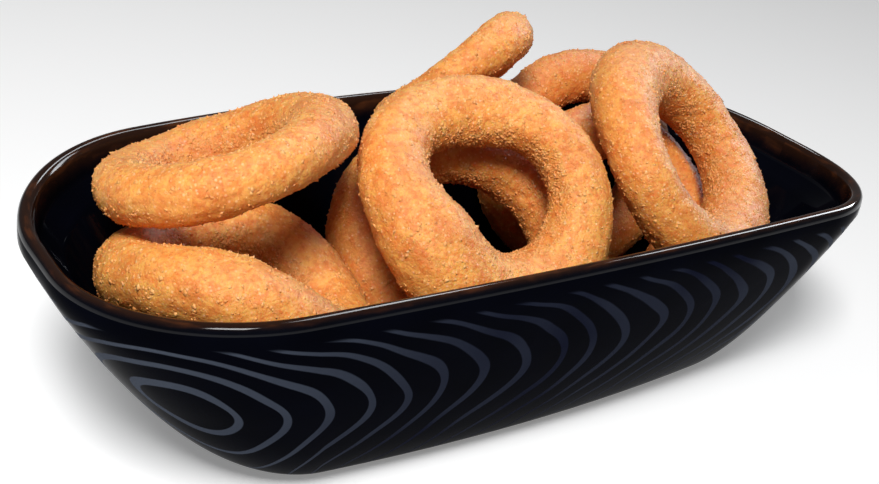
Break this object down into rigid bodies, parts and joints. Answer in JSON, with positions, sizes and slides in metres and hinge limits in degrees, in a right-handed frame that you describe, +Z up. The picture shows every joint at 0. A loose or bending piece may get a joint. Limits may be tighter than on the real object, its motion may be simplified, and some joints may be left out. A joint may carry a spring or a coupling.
{
  "type": "onion rings side",
  "caption": "Breaded onion rings heaped loosely in a glazed boat-shaped ceramic side dish with a rolled lip and a flat base.",
  "frame": {"origin": "centre of the dish's flat base, on the surface that it stands on", "axes": "+X along the dish's long axis, +Y to its back, +Z up"},
  "size_m": [0.2, 0.09, 0.0766],
  "materials": {
    "glaze": "glossy black stoneware glaze, breaking to brown at the lip",
    "crust": "fried golden crumb crust"
  },
  "bodies": {
    "root": {"dish": "glaze", "ring_front": "crust", "ring_behind": "crust", "ring_left_top": "crust", "ring_left_front": "crust", "ring_back_top": "crust", "ring_back": "crust", "ring_right": "crust", "ring_right_under": "crust", "ring_left_under": "crust"}
  },
  "joints": []
}
